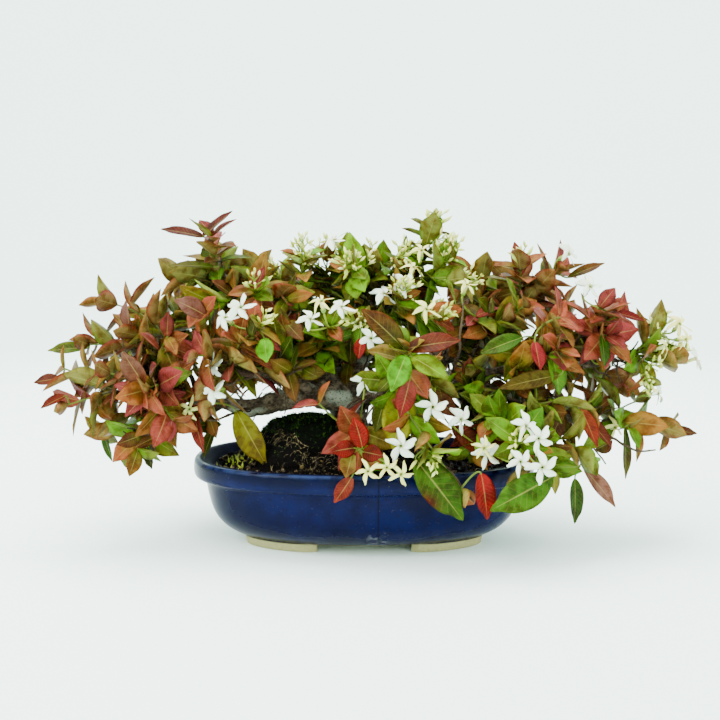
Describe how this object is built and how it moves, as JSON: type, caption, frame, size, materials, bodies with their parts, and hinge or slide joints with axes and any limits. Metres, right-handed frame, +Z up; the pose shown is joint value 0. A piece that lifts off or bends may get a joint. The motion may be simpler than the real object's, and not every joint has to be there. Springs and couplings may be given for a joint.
{
  "type": "asiatic jasmine bonsai",
  "caption": "Asiatic jasmine bonsai with copper-red and green leaves and white pinwheel flowers, in a shallow oval blue-glazed pot.",
  "frame": {"origin": "on the surface that the pot stands on, under the middle of the whole bonsai's box, a few millimetres from the pot's own middle", "axes": "+Z up, +X along the pot and the crown to the right as seen from the front, -Y towards the front, which is the side that the picture shows"},
  "size_m": [0.409, 0.202, 0.2039],
  "materials": {
    "pot_glaze": "gloss",
    "soil": "matte",
    "moss": "matte",
    "bark": "matte",
    "screen": "matte",
    "leaves": "satin",
    "petals": "matte",
    "roots": "matte",
    "pebbles": "matte"
  },
  "bodies": {
    "root": {"pot": "pot_glaze", "soil": "soil", "moss": "moss", "trunk": "bark", "drain_screen_left": "screen", "drain_screen_right": "screen", "spray_left_tip": "leaves", "spray_left_low": "leaves", "spray_left_front": "leaves", "spray_left_top": "leaves", "spray_crest_left": "leaves", "spray_crest_inner": "leaves", "spray_crest_mid": "leaves", "spray_front_left": "leaves", "spray_inner_mid": "leaves", "spray_top_mid": "leaves", "spray_top_right": "leaves", "spray_top_front": "leaves", "spray_front_mid": "leaves", "spray_front_low": "leaves", "spray_low_mid": "leaves", "spray_right_inner": "leaves", "spray_right_crest": "leaves", "spray_right_front": "leaves", "spray_right_top": "leaves", "spray_right_far": "leaves", "spray_right_low_far": "leaves", "spray_right_front_low": "leaves", "spray_back_left_far": "leaves", "spray_back_left": "leaves", "spray_back_mid": "leaves", "spray_back_right": "leaves", "spray_back_right_far": "leaves", "bloom_01": "petals", "bloom_02": "petals", "bloom_03": "petals", "bloom_04": "petals", "bloom_05": "petals", "bloom_06": "petals", "bloom_07": "petals", "bloom_08": "petals", "bloom_09": "petals", "bloom_10": "petals", "bloom_11": "petals", "bloom_12": "petals", "bloom_13": "petals", "bloom_14": "petals", "bloom_15": "petals", "bloom_16": "petals", "bloom_17": "petals", "bloom_18": "petals", "bloom_19": "petals", "bloom_20": "petals", "bloom_21": "petals", "bloom_22": "petals", "bloom_23": "petals", "bloom_24": "petals", "bloom_25": "petals", "bloom_26": "petals", "bloom_27": "petals"}
  },
  "joints": []
}
